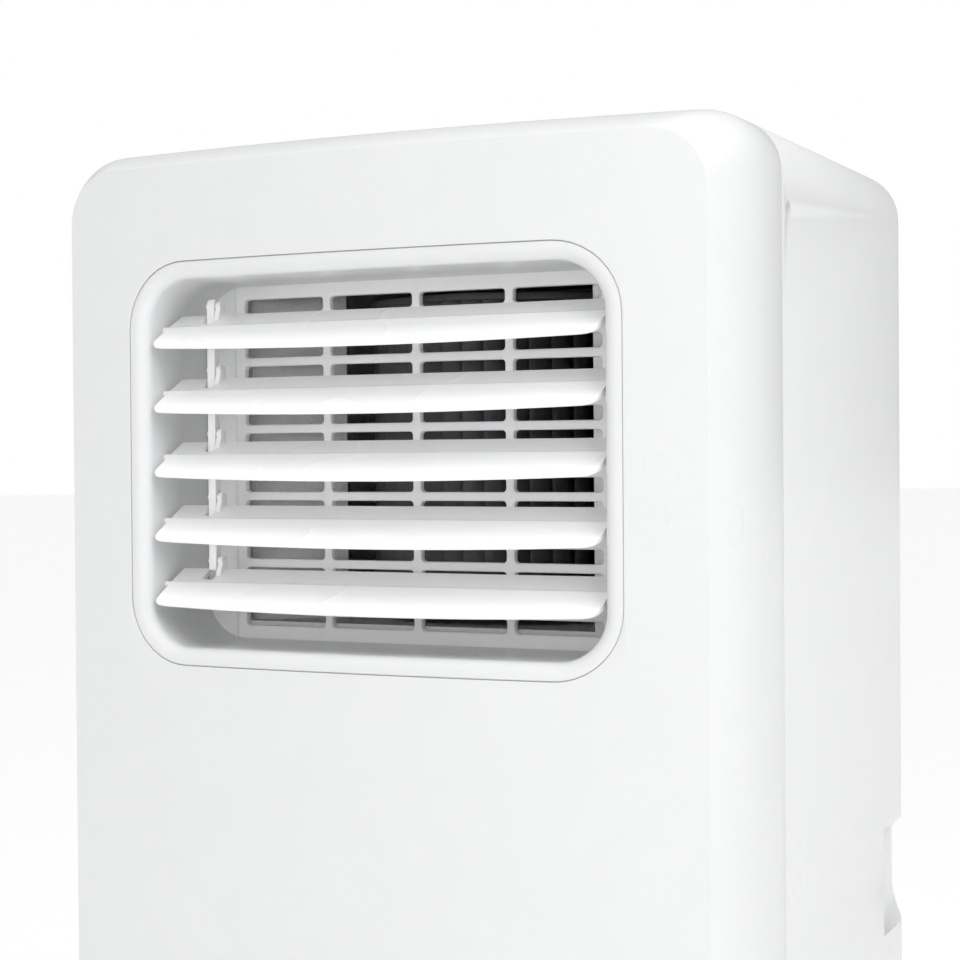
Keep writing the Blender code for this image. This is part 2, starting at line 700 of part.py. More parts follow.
def make_drip_tray():
    def outline(inset):
        half, low, high, radius = 0.148 - inset, -0.064 + inset, 0.122 - inset, 0.022 - inset
        points = [(-half, low), (half, low)]
        for k in range(5):
            t = math.pi / 2 * k / 4
            points.append((half - radius * (1 - math.cos(t)), high - radius * (1 - math.sin(t))))
        for k in range(5):
            t = math.pi / 2 * k / 4
            points.append((-half + radius * (1 - math.sin(t)), high - radius * (1 - math.cos(t))))
        return points

    tray = prism("drip_tray", outline(0.0), "Z", 0.416, 0.430)
    hollow = prism("hollow", outline(0.002), "Z", 0.4185, 0.45)
    pipe_notch = box("pipe_notch", (0.131, 0.160), (0.050, 0.085), (0.40, 0.44))
    cut(tray, hollow, pipe_notch)
    return paint(tray, (0.20, 0.20, 0.21), 0.6)


def make_compressor():
    profile = [(0.020, 0.0), (0.040, 0.003), (0.051, 0.014), (0.052, 0.026), (0.052, 0.166), (0.050, 0.176),
               (0.038, 0.186), (0.018, 0.190)]
    pump = turned("compressor", profile, (0.078, -0.052, 0.072), "Z", 20)
    foot = []
    for k in range(3):
        spot = foot_spot(k)
        foot += [prism("foot", circle(spot, 0.012, 12), "Z", 0.0735, 0.0760)]
    plate = prism("plate", circle((0.078, -0.052), 0.050, 24), "Z", 0.0735, 0.0760)
    join(pump, plate)
    join(pump, *foot)
    return paint(pump, (0.06, 0.06, 0.065), 0.35, 0.3)


def foot_spot(k):
    turn = math.radians(90 + 120 * k)
    return (0.078 + 0.052 * math.cos(turn), -0.052 + 0.052 * math.sin(turn))


def make_compressor_feet():
    for k in range(3):
        profile = [(0.0090, 0.0403), (0.0100, 0.0440), (0.0075, 0.0520), (0.0100, 0.0620), (0.0095, 0.0732)]
        foot = turned(f"compressor_foot_{k + 1}", profile, (*foot_spot(k), 0), "Z", 8)
        paint(foot, (0.03, 0.03, 0.03), 0.8)


def make_accumulator():
    profile = [(0.006, 0.120), (0.016, 0.126), (0.019, 0.134), (0.019, 0.216), (0.016, 0.224), (0.006, 0.230)]
    return paint(turned("accumulator", profile, (0.004, -0.082, 0), "Z", 16), (0.06, 0.06, 0.065), 0.35, 0.3)


def make_pipes():
    suction = [(0.1270, 0.104, 0.452), (0.1320, 0.104, 0.452), (0.1395, 0.085, 0.450), (0.1405, 0.060, 0.430),
               (0.1405, 0.055, 0.320), (0.1400, 0.020, 0.288), (0.120, -0.040, 0.285), (0.070, -0.080, 0.285),
               (0.020, -0.082, 0.282), (0.004, -0.082, 0.262), (0.004, -0.082, 0.2305)]
    discharge = [(0.078, -0.030, 0.2625), (0.078, -0.030, 0.290), (0.100, 0.000, 0.310), (0.122, 0.040, 0.310),
                 (0.1300, 0.072, 0.302), (0.134, 0.0950, 0.280), (0.138, 0.1040, 0.252), (0.133, 0.1040, 0.240),
                 (0.1270, 0.1040, 0.240)]
    liquid = [(0.1270, 0.104, 0.100), (0.1310, 0.104, 0.100), (0.1365, 0.092, 0.115), (0.1365, 0.074, 0.150),
              (0.1365, 0.074, 0.250), (0.1365, 0.075, 0.415), (0.1350, 0.093, 0.435), (0.1335, 0.103, 0.439),
              (0.1310, 0.104, 0.440), (0.1270, 0.104, 0.440)]
    for name, route, radius in (("suction_pipe", suction, 0.0035), ("discharge_pipe", discharge, 0.003),
                                ("liquid_pipe", liquid, 0.0015)):
        paint(tube(name, route, radius, 2), COPPER, 0.3, 1.0)


# ---------------------------------------------------------------- electrics and controls

def make_control_box():
    xs, ys, zs = (-0.140, -0.045), (-0.116, -0.062), (0.250, 0.400)
    case = box("control_box", xs, ys, zs)
    cut(case, box("hollow", (xs[0] + 0.002, xs[1] - 0.002), (ys[0] - 0.01, ys[1] - 0.002),
                  (zs[0] + 0.002, zs[1] - 0.002)))
    paint(case, (0.22, 0.22, 0.23), 0.6)
    board = box("main_board", (-0.1365, -0.0485), (-0.0700, -0.0684), (0.2535, 0.3965))
    parts = [box("relay", (-0.130, -0.112), (-0.0860, -0.0692), (0.345, 0.360)),
             box("transformer", (-0.100, -0.064), (-0.0960, -0.0692), (0.350, 0.385)),
             box("terminal", (-0.130, -0.060), (-0.0800, -0.0692), (0.257, 0.268)),
             box("relay_2", (-0.130, -0.112), (-0.0860, -0.0692), (0.368, 0.383))]
    join(board, *parts)
    paint(board, (0.03, 0.16, 0.07), 0.5)
    can = turned("capacitor", [(0.012, 0.274), (0.0145, 0.276), (0.0145, 0.326), (0.013, 0.3275), (0.004, 0.3275),
                               (0.004, 0.3335)], (-0.100, -0.0880, 0), "Z", 16)
    paint(can, (0.75, 0.76, 0.78), 0.3, 0.9)


def make_control_panel():
    """A recessed plate in the top, held by a flange under the wall, with button holes and a display window."""
    half_x, half_y = PANEL_HALF[0] - GAP, PANEL_HALF[1] - GAP
    panel = box("control_panel", (-half_x, half_x), (PANEL_Y - half_y, PANEL_Y + half_y),
                (HEIGHT - 0.0052, HEIGHT - 0.0012))
    flange = box("flange", (-half_x - 0.003, half_x + 0.003), (PANEL_Y - half_y - 0.003, PANEL_Y + half_y + 0.003),
                 (HEIGHT - 0.0055, HEIGHT - WALL - GAP))
    join(panel, flange)
    holes = [prism("hole", circle((x, PANEL_Y), BUTTON_R + 0.0004, 16), "Z", 0.68, 0.70) for x in BUTTON_XS]
    half = (DISPLAY_HALF[0] + GAP, DISPLAY_HALF[1] + GAP)
    holes.append(box("hole", (-half[0], half[0]), (PANEL_Y - half[1], PANEL_Y + half[1]), (0.68, 0.70)))
    cut(panel, *holes)
    return paint(panel, (0.75, 0.76, 0.77), 0.25)


def make_display():
    window = box("display_window", (-DISPLAY_HALF[0], DISPLAY_HALF[0]),
                 (PANEL_Y - DISPLAY_HALF[1], PANEL_Y + DISPLAY_HALF[1]), (HEIGHT - 0.0040, HEIGHT - 0.0010))
    paint(window, (0.02, 0.02, 0.025), 0.1)
    board = box("display_board", (-0.078, 0.078), (PANEL_Y - 0.016, PANEL_Y + 0.016),
                (HEIGHT - 0.0130, HEIGHT - 0.0114))
    paint(board, (0.03, 0.16, 0.07), 0.5)


def make_buttons():
    """Round buttons with a collar below the plate; the origin of each is on its travel axis."""
    for k, x in enumerate(BUTTON_XS):
        profile = [(0.0066, -0.0070), (0.0066, -0.0059), (BUTTON_R, -0.0059), (BUTTON_R, -0.0007),
                   (BUTTON_R - 0.0006, -0.0002)]
        button = turned(f"button_{k + 1}", profile, (0, 0, 0), "Z", 14)
        button.location = (x, PANEL_Y, HEIGHT)
        paint(button, (0.90, 0.90, 0.90), 0.35)


# ---------------------------------------------------------------- intakes and rear fittings

def make_intakes():
    for name, intake, rows in (("upper_intake_grille", UPPER_INTAKE, 12), ("lower_intake_grille", LOWER_INTAKE, 13)):
        (left, right), (low, high) = intake
        plate = slotted_plate(name, (left + 0.0005, right - 0.0005), (0.1325, 0.1362), (low + 0.0005, high - 0.0005),
                              3, rows, (0.0600, 0.0080), (0.0655, 0.0130))
        paint(plate, WHITE, 0.35)
    (left, right), (low, high) = UPPER_INTAKE
    screen = slotted_plate("filter_screen", (left + 0.003, right - 0.003), (0.1288, 0.1322),
                           (low + 0.003, high - 0.003), 4, 3, (0.0460, 0.0490), (0.0500, 0.0530))
    paint(screen, (0.16, 0.18, 0.20), 0.7)


def make_rear_fittings():
    x, z = CORD_XZ
    gland = turned("cord_gland", [(0.0032, 0.1260), (0.0060, 0.1260), (0.0060, REAR_Y + GAP), (0.0088, REAR_Y + GAP),
                                  (0.0080, 0.1388), (0.0050, 0.1397), (0.0032, 0.1397)],
                   (x, 0, z), "Y", 16, wrap=True)
    paint(gland, (0.85, 0.85, 0.85), 0.5)
    x, z = DRAIN_XZ
    spout = turned("drain_spout", [(0.0058, 0.1080), (0.0080, 0.1080), (0.0080, 0.1366), (0.0058, 0.1366)],
                   (x, 0, z), "Y", 16, wrap=True)
    paint(spout, (0.80, 0.80, 0.80), 0.5)
    plug = turned("drain_plug", [(0.0048, 0.1240), (0.0054, 0.1260), (0.0054, 0.1369), (0.0088, 0.1369),
                                 (0.0088, 0.1386), (0.0076, 0.1396)], (x, 0, z), "Y", 16)
    paint(plug, (0.10, 0.10, 0.10), 0.7)


# ---------------------------------------------------------------- casters

def make_caster(k, x, y):
    """A swivelling fork whose stem turns in the base pan, and a wheel that trails behind it."""
    fork = turned(f"caster_fork_{k}", [(0.0120, 0.0293), (0.0120, 0.0325), (0.0041, 0.0325), (0.0041, 0.0390)],
                  (0, 0, 0), "Z", 16)
    axle = (CASTER_TRAIL, CASTER_WHEEL_R)
    cheek_outline = [(axle[0] - 0.0042, axle[1] - 0.0035), (axle[0] + 0.0042, axle[1] - 0.0035),
                     (axle[0] + 0.0055, axle[1] + 0.004), (0.0085, 0.0305), (-0.0085, 0.0305)]
    cheeks = [prism("cheek", cheek_outline, "X", *sorted((side * 0.0072, side * 0.0092))) for side in (-1, 1)]
    pin = prism("pin", circle(axle, 0.0020, 10), "X", -0.0080, 0.0080)
    join(fork, *cheeks)
    join(fork, pin)
    fork.location = (x, y, 0)
    paint(fork, (0.09, 0.09, 0.095), 0.5)
    half = 0.0066
    profile = [(0.0024, -half), (0.0122, -half), (CASTER_WHEEL_R, -half + 0.0025),
               (CASTER_WHEEL_R, half - 0.0025), (0.0122, half), (0.0024, half)]
    wheel = turned(f"caster_wheel_{k}", profile, (0, 0, 0), "X", 20, wrap=True)
    wheel.location = (x, y + CASTER_TRAIL, CASTER_WHEEL_R)
    paint(wheel, (0.06, 0.06, 0.062), 0.6)


def main():
    clear_scene()
    make_front_panel()
    make_rear_casing()
    make_base_pan()
    make_side_screw("side_screw_right", 1)
    make_side_screw("side_screw_left", -1)
    make_outlet_trim()
    make_outlet_grille()
    make_louvres()
    make_louvre_link()
    make_blower_wheel()
    make_blower_scroll()
    make_scroll_lid()
    make_motor("blower_motor", (*BLOWER_XY, 0), "Z", 0.042, (0.4192, 0.4772), 0.508)
    make_exhaust_wheel()
    make_exhaust_scroll()
    make_motor("exhaust_motor", (EXHAUST_XZ[0], 0, EXHAUST_XZ[1]), "Y", 0.038, (-0.030, 0.0300), 0.052)
    make_exhaust_collar()
    make_coil("evaporator_coil", (0.432, 0.660))
    make_coil("condenser_coil", (0.088, 0.268))
    make_drip_tray()
    make_compressor()
    make_compressor_feet()
    make_accumulator()
    make_pipes()
    make_control_box()
    make_control_panel()
    make_display()
    make_buttons()
    make_intakes()
    make_rear_fittings()
    number = 1
    for y in (-CASTER_XY[1], CASTER_XY[1]):
        for x in (-CASTER_XY[0], CASTER_XY[0]):
            make_caster(number, x, y)
            number += 1


main()
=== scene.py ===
"""The looks of a portable air conditioner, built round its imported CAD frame. Metres, +Z up, front at -Y."""

import math

import bmesh
import bpy
from mathutils import Matrix, Vector


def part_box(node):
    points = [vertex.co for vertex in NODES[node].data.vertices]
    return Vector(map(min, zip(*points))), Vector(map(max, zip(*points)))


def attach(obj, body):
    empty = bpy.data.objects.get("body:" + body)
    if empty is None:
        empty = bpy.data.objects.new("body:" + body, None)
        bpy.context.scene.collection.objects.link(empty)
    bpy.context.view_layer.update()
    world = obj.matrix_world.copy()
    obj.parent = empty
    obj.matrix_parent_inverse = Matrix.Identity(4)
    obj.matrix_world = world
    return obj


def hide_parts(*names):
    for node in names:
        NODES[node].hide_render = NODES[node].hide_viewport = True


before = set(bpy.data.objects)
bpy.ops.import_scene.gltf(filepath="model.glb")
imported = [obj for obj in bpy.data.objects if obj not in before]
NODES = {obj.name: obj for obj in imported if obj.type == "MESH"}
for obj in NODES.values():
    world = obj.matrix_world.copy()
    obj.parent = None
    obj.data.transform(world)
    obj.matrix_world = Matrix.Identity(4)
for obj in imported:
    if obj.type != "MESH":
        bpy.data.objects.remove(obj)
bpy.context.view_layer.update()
SCENE = bpy.context.scene

# Casing, as the CAD has it
HALF_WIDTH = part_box("rear_casing")[1].x
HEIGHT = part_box("rear_casing")[1].z
FRONT_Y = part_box("front_panel")[0].y
SEAM_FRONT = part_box("front_panel")[1].y
SEAM_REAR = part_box("rear_casing")[0].y
REAR_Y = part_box("rear_casing")[1].y
CASING_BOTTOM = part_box("front_panel")[0].z
BOW = 0.47
BOW_HALF = 0.144
EDGE_RADIUS = 0.077
EDGE_ANGLE = math.radians(31)
REAR_EDGE = 0.024
CORNER = 0.022
WALL = 0.0027
GAP = 0.0003
PLATEAU_SHARES = (0, 0.03, 0.09, 0.2, 0.35, 0.5, 0.65, 0.8, 0.91, 0.97, 0.988, 1)
LEDGE_GROW = (-0.0008, 0.0012)
LEDGE_DEPTH = (0.0013, 0.0024)
OUTSIDE = 0.16
BACK_CUT = (0.12, OUTSIDE)
HOSE_RADIUS = 0.0645
GLAND_RADIUS = 0.0063
DRAIN_RADIUS = 0.0083
GRIP_Y = 0.082
GRIP_Z = (0.346, 0.386)
GRIP_FLOOR = 0.1465
GRIP_FLOOR_Z = (GRIP_Z[0] + 0.006, GRIP_Z[1] - 0.009)
GRIP_MOUTH_Z = (GRIP_Z[0] - 0.013, GRIP_Z[1] + 0.004)
GRIP_SCOOP = 0.019
GRIP_BACKING_Z = (GRIP_Z[0] - 0.016, GRIP_Z[1] + 0.006)
GRIP_BACKING = ((0.1425, GRIP_Y - 0.004), (0.1535, GRIP_Y - 0.004), (0.1535, 0.1120), (0.1525, 0.1180),
                (0.1500, 0.1235), (0.1465, 0.1285), (0.1425, 0.1300))
BOSS_RADIUS = 0.0062
BOSS_SPAN = (0.142, HALF_WIDTH - 0.002)
BORE_RADIUS = 0.0035
BORE_SPAN = (0.147, OUTSIDE)
OPENING_GAP = 0.0005

# Air outlet
TRIM_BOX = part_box("outlet_trim")
OUTLET_Z = (TRIM_BOX[0].z + TRIM_BOX[1].z) / 2
TRIM_HALF = (TRIM_BOX[1].x, TRIM_BOX[1].z - OUTLET_Z)
TRIM_CORNER = 0.028
THROAT_HALF = (0.1035, 0.077)
THROAT_CORNER = 0.020
THROAT_DEPTHS = (-0.1195, -0.103)
TRIM_FACE = 0.0003
TRIM_RIM = 0.0005
FLANK_STEP = 0.0011
SLEEVE_WALL = 0.0022
SLEEVE_FRONT = 0.008
LIP_RADIUS = 0.0055
SLOT_SIZE = (0.0394, 0.0060)
SLOT_PITCH = (0.0431, 0.00975)
SLOT_COUNT = (4, 15)
SLOT_CORNER = 0.0016
SLOT_EDGE = 0.0007
MARGIN_INSET = 0.0045
MARGIN_RIGHT = -0.0885
GRILLE_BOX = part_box("outlet_grille")
LOUVRES = 5
LOUVRE_PITCH = 0.0271
LOUVRE_RISE = 0.0025
LOUVRE_Y = -0.120
LOUVRE_TILT = math.radians(30)
LOUVRE_HALF = 0.1010
LOUVRE_REACH = 0.0148
LOUVRE_BELLY = 0.0037
LOUVRE_END = 0.93
LOUVRE_DROP_LEFT = 0.0012
LOUVRE_DROP_RIGHT = 0.007
LOUVRE_PIN_END = 0.0032
PIN_RADIUS = 0.0014
NOTCH_GAPS = (0.0012, 0.0008)
NOTCH_Y = (0.0026, 0.03)
LUG_RADIUS = 0.0021
LUG_END = 0.0030
LUG_FOOT = (0.0075, 0.0117)
STUD_RADIUS = 0.0011
STUD_ENDS = (0.0008, 0.0020)
LINK_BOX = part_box("louvre_link")
LINK_PIN = (0.008, 0.010)
LINK_TOP = 0.0032

# Controls
PANEL_Y = -0.042
PANEL_HALF = (0.085, 0.020)

# Lights
BACKDROP = 1.0
AMBIENT = 0.42
SOFTBOX_PLACE = (1.15, -0.80, 1.30)
SOFTBOX_AIM = (0.0, -0.10, 0.60)
SOFTBOX_SIZE = 1.0
SOFTBOX_POWER = 11.0
SUNS = {"front": ((0.10, -1.0, 0.02), 0.95, 30.0), "overhead": ((0.0, -0.1, 1.0), 2.0, 70.0)}

# Camera of a long lens, nearly level with the outlet, to the right of the front
CAMERA_PLACE = (0.3906, -0.8397, 0.5594)
CAMERA_YAW = math.radians(25.62)
CAMERA_PITCH = math.radians(-0.73)
CAMERA_ROLL = math.radians(-0.43)
CAMERA_LENS = 75.6


# ---------------------------------------------------------------- materials

COAT_ROUGHNESS = 0.12
WAVE_SCALE = 14.0
WAVE_STRENGTH = 0.08
WAVE_HEIGHT = 0.0002
GRAIN_STRENGTH = 0.35
GLOSS_SPREAD = (0.88, 1.14)
BLOTCH_SCALE = 45.0
CELL_SCALE = 620.0
CELL_JOINT = 0.14
JOINT_SHADE = 0.93


def shader_nodes(name):
    material = bpy.data.materials.new(name)
    material.use_nodes = True
    tree = material.node_tree
    return material, tree, tree.nodes["Principled BSDF"]


def noise_node(tree, scale, detail=3.0):
    place = tree.nodes.new("ShaderNodeTexCoord")
    grain = tree.nodes.new("ShaderNodeTexNoise")
    grain.inputs["Scale"].default_value = scale
    grain.inputs["Detail"].default_value = detail
    tree.links.new(place.outputs["Object"], grain.inputs["Vector"])
    return grain


def vary(tree, source, low, high, target):
    """Spreads a noise over a range of values and feeds it to a socket."""
    spread = tree.nodes.new("ShaderNodeMapRange")
    spread.interpolation_type = "SMOOTHERSTEP"
    spread.inputs["From Min"].default_value = 0.15
    spread.inputs["From Max"].default_value = 0.85
    spread.inputs["To Min"].default_value = low
    spread.inputs["To Max"].default_value = high
    tree.links.new(source.outputs["Fac"], spread.inputs["Value"])
    tree.links.new(spread.outputs["Result"], target)


def bump(tree, source, strength, distance, shader, before=None):
    relief = tree.nodes.new("ShaderNodeBump")
    relief.inputs["Strength"].default_value = strength
    relief.inputs["Distance"].default_value = distance
    tree.links.new(source.outputs["Fac"], relief.inputs["Height"])
    if before is not None:
        tree.links.new(before.outputs["Normal"], relief.inputs["Normal"])
    tree.links.new(relief.outputs["Normal"], shader.inputs["Normal"])
    return relief


def finish(name, colour, roughness, metallic=0.0, grain=1500.0, relief=0.00002, shade=0.02, coat=0.0):
    """Moulded plastic or metal: a fine grain, slow waves in the surface, and uneven gloss and tone."""
    material, tree, shader = shader_nodes(name)
    shader.inputs["Metallic"].default_value = metallic
    shader.inputs["Coat Weight"].default_value = coat
    shader.inputs["Coat Roughness"].default_value = COAT_ROUGHNESS
    fine = noise_node(tree, grain)
    slow = noise_node(tree, WAVE_SCALE, 2.0)
    vary(tree, slow, roughness * GLOSS_SPREAD[0], roughness * GLOSS_SPREAD[1], shader.inputs["Roughness"])
    waves = bump(tree, slow, WAVE_STRENGTH, WAVE_HEIGHT, shader)
    bump(tree, fine, GRAIN_STRENGTH, relief, shader, waves)
    tone = tree.nodes.new("ShaderNodeMix")
    tone.data_type = "RGBA"
    tone.inputs["A"].default_value = (*[c * (1 - shade) for c in colour], 1.0)
    tone.inputs["B"].default_value = (*[min(1.0, c * (1 + shade)) for c in colour], 1.0)
    blotch = noise_node(tree, BLOTCH_SCALE, 4.0)
    tree.links.new(blotch.outputs["Fac"], tone.inputs["Factor"])
    tree.links.new(tone.outputs["Result"], shader.inputs["Base Color"])
    return material


def foam_finish(name, colour):
    """Moulded bead foam: small round cells with slightly darker joints, and a fine tooth."""
    material, tree, shader = shader_nodes(name)
    place = tree.nodes.new("ShaderNodeTexCoord")
    cells = tree.nodes.new("ShaderNodeTexVoronoi")
    cells.feature = "DISTANCE_TO_EDGE"
    cells.inputs["Scale"].default_value = CELL_SCALE
    tree.links.new(place.outputs["Object"], cells.inputs["Vector"])
    joint = tree.nodes.new("ShaderNodeMapRange")
    joint.inputs["From Max"].default_value = CELL_JOINT
    tree.links.new(cells.outputs["Distance"], joint.inputs["Value"])
    tone = tree.nodes.new("ShaderNodeMix")
    tone.data_type = "RGBA"
    tone.inputs["A"].default_value = (*[c * JOINT_SHADE for c in colour], 1.0)
    tone.inputs["B"].default_value = (*colour, 1.0)
    tree.links.new(joint.outputs["Result"], tone.inputs["Factor"])
    tree.links.new(tone.outputs["Result"], shader.inputs["Base Color"])
    relief = tree.nodes.new("ShaderNodeBump")
    relief.inputs["Strength"].default_value = 0.35
    relief.inputs["Distance"].default_value = 0.0003
    tree.links.new(joint.outputs["Result"], relief.inputs["Height"])
    tooth = noise_node(tree, 900.0)
    bump(tree, tooth, 0.5, 0.0002, shader, relief)
    vary(tree, tooth, 0.82, 0.98, shader.inputs["Roughness"])
    return material


FINISH = {
    "casing": finish("white_plastic", (0.70, 0.704, 0.708), 0.30, coat=0.15),
    # Painted light: the louvres and the grille are painted far brighter than the casing's white plastic (0.93
    # and 0.92 against 0.70) to light the shaded outlet recess.
    "louvre": finish("louvre_white_with_painted_light", (0.93, 0.932, 0.935), 0.28, coat=0.15),
    "grille": finish("grille_grey_with_painted_light", (0.92, 0.922, 0.925), 0.36),
    "control_plate": finish("grey_gloss_plate", (0.72, 0.73, 0.74), 0.16, grain=2500.0, relief=0.000006),
    "button": finish("white_button_plastic", (0.87, 0.87, 0.875), 0.34),
    "display": finish("smoked_window", (0.012, 0.012, 0.015), 0.07, grain=2500.0, relief=0.000002, coat=0.6),
    "base": finish("dark_grey_plastic", (0.20, 0.20, 0.21), 0.52, grain=1100.0, relief=0.00006),
    "fan": finish("charcoal_plastic", (0.10, 0.101, 0.105), 0.42, grain=1200.0, relief=0.00004),
    "foam": foam_finish("bead_foam", (0.74, 0.74, 0.73)),
    "screen": finish("screen_fibre", (0.13, 0.15, 0.17), 0.6, grain=3000.0),
    "motor": finish("motor_steel", (0.34, 0.35, 0.37), 0.38, metallic=0.7, grain=900.0, relief=0.00005),
    "coil": finish("fin_aluminium", (0.72, 0.73, 0.74), 0.34, metallic=0.95, grain=1800.0, shade=0.05),
    "compressor": finish("black_enamel", (0.03, 0.03, 0.033), 0.3, grain=700.0, relief=0.00006, coat=0.3),
    "copper": finish("copper_tube", (0.72, 0.36, 0.20), 0.3, metallic=1.0, shade=0.10),
    "rubber": finish("black_rubber", (0.028, 0.028, 0.03), 0.72, grain=1600.0, relief=0.00008),
    "caster": finish("black_nylon", (0.045, 0.045, 0.048), 0.42, grain=1300.0, relief=0.00005),
    "board": finish("circuit_board", (0.02, 0.14, 0.06), 0.42, shade=0.12),
    "can": finish("bright_can", (0.78, 0.79, 0.81), 0.22, metallic=0.95),
    "screw": finish("zinc_plate", (0.62, 0.63, 0.64), 0.28, metallic=1.0, shade=0.06),
}


# ---------------------------------------------------------------- building blocks

def link_mesh(name, shape, sharp=35.0):
    """Turns a bmesh into an object with smooth faces and sharp edges above an angle."""
    bmesh.ops.recalc_face_normals(shape, faces=shape.faces)
    mesh = bpy.data.meshes.new(name)
    shape.to_mesh(mesh)
    shape.free()
    smooth(mesh, sharp)
    piece = bpy.data.objects.new(name, mesh)
    SCENE.collection.objects.link(piece)
    return piece


def smooth(mesh, sharp=35.0):
    mesh.shade_smooth()
    mesh.set_sharp_from_angle(angle=math.radians(sharp))


def settle(piece):
    """Makes the piece's modifiers part of its mesh."""
    bpy.context.view_layer.update()
    depsgraph = bpy.context.evaluated_depsgraph_get()
    mesh = bpy.data.meshes.new_from_object(piece.evaluated_get(depsgraph))
    piece.modifiers.clear()
    piece.data = mesh
    smooth(mesh)
    return piece


def combine(piece, operation, others):
    for other in others:
        step = piece.modifiers.new(operation.lower(), "BOOLEAN")
        step.operation = operation
        step.object = other
    settle(piece)
    for other in others:
        bpy.data.objects.remove(other)
    return piece


def cut(piece, *others):
    return combine(piece, "DIFFERENCE", others)


def join(piece, *others):
    return combine(piece, "UNION", others)


def round_edges(piece, width, segments=3, angle=50.0):
    step = piece.modifiers.new("round", "BEVEL")
    step.width = width
    step.segments = segments
    step.limit_method = "ANGLE"
    step.angle_limit = math.radians(angle)
    return settle(piece)


def band(shape, near, far):
    """Faces between two closed rings of vertices."""
    for k in range(len(near)):
        after = (k + 1) % len(near)
        shape.faces.new((near[k], near[after], far[after], far[k]))


def skin(name, loops, wrap=False):
    """Skin through closed loops of equal length, as a tube with filled ends or, with wrap, as a ring."""
    shape = bmesh.new()
    rings = [[shape.verts.new(p) for p in loop] for loop in loops]
    following = rings[1:] + ([rings[0]] if wrap else [])
    for near, far in zip(rings, following):
        band(shape, near, far)
    if not wrap:
        shape.faces.new(rings[0])
        shape.faces.new(rings[-1])
    return link_mesh(name, shape)


def prism(name, outline, axis, low, high):
    def place(point, height):
        spot = list(point)
        spot.insert("XYZ".index(axis), height)
        return spot
    return skin(name, [[place(p, low) for p in outline], [place(p, high) for p in outline]])


def box(name, xs, ys, zs):
    outline = [(xs[0], ys[0]), (xs[1], ys[0]), (xs[1], ys[1]), (xs[0], ys[1])]
    return prism(name, outline, "Z", *zs)


def circle(centre, radius, sides=48):
    turns = [math.tau * k / sides for k in range(sides)]
    return [(centre[0] + radius * math.cos(t), centre[1] + radius * math.sin(t)) for t in turns]


def rounded_profile(points, radius, steps=3):
    """Replaces each corner of a closed (radius, height) profile by a small arc-like curve."""
    result = []
    for k, point in enumerate(points):
        here = Vector(point)
        before, after = Vector(points[k - 1]), Vector(points[(k + 1) % len(points)])
        size = min(radius, (before - here).length * 0.45, (after - here).length * 0.45)
        start = here + (before - here).normalized() * size
        end = here + (after - here).normalized() * size
        for step in range(steps + 1):
            t = step / steps
            result.append(start * (1 - t) ** 2 + here * 2 * t * (1 - t) + end * t ** 2)
    return result


def turned(name, profile, radius=0.0005, sides=96):
    """A rounded (radius, height) profile spun round the Z axis, as a ring."""
    turns = [math.tau * k / sides for k in range(sides)]
    spokes = [Vector((math.cos(t), math.sin(t), 0.0)) for t in turns]
    loops = [[Vector((0.0, 0.0, height)) + spoke * reach for spoke in spokes]
             for reach, height in rounded_profile(profile, radius)]
    return skin(name, loops, wrap=True)


def merge(name, pieces):
    """Puts several pieces in one object, as separate closed bodies."""
    shape = bmesh.new()
    for piece in pieces:
        piece.data.transform(piece.matrix_basis)
        shape.from_mesh(piece.data)
        bpy.data.objects.remove(piece)
    mesh = bpy.data.meshes.new(name)
    shape.to_mesh(mesh)
    shape.free()
    smooth(mesh)
    merged = bpy.data.objects.new(name, mesh)
    SCENE.collection.objects.link(merged)
    return merged


def dress(piece, slot, body, *nodes):
    """Gives a piece its finish, its body and the CAD nodes that it stands for."""
    piece.data.materials.clear()
    piece.data.materials.append(FINISH[slot])
    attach(piece, body)
    if nodes:
        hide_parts(*nodes)
    return piece


# ---------------------------------------------------------------- outlines

def bow(x):
    return BOW * min(abs(x), BOW_HALF) ** 2


SIDE_STEPS = 10
ARC_STEPS = 10
TOP_STATIONS = [-0.112, -0.100] + [PANEL_HALF[0] * (k / 9 - 1) for k in range(19)] + [0.100, 0.112]
TOP_SPAN = 0.118


def arch(draw):
    """(x, z) points of the casing's outline from its lower left, up and over the top, to its lower right."""
    half, top = HALF_WIDTH - draw, HEIGHT - draw
    rise = top - CORNER - CASING_BOTTOM
    left = [(-half, CASING_BOTTOM + rise * k / SIDE_STEPS) for k in range(SIDE_STEPS + 1)]
    for k in range(1, ARC_STEPS + 1):
        t = math.pi / 2 * k / ARC_STEPS
        left.append((-half + CORNER * (1 - math.cos(t)), top - CORNER * (1 - math.sin(t))))
    return left + [(x, top) for x in TOP_STATIONS] + [(-x, z) for x, z in reversed(left)]


def outlet_loop(half, radius, grow=0.0):
    """A rounded rectangle round the outlet, with as many points as the casing's arch and its bottom edge."""
    half_x, half_z, round_off = half[0] + grow, half[1] + grow, radius + grow
    straight_x, straight_z = half_x - round_off, half_z - round_off
    quarter = [math.pi / 2 * k / ARC_STEPS for k in range(1, ARC_STEPS + 1)]
    scale = straight_x / TOP_SPAN
    left = [(-half_x, straight_z * (2 * k / SIDE_STEPS - 1)) for k in range(SIDE_STEPS + 1)]
    left += [(-straight_x - round_off * math.cos(t), straight_z + round_off * math.sin(t)) for t in quarter]
    top = [(x * scale, half_z) for x in TOP_STATIONS]
    right = [(-x, z) for x, z in reversed(left)]
    corner = [(straight_x + round_off * math.cos(t), -straight_z - round_off * math.sin(t)) for t in quarter]
    bottom = [(x * scale, -half_z) for x in reversed(TOP_STATIONS)]
    loop = left + top + right + corner + bottom + [(-x, z) for x, z in reversed(corner)]
    return [(x, OUTLET_Z + z) for x, z in loop]


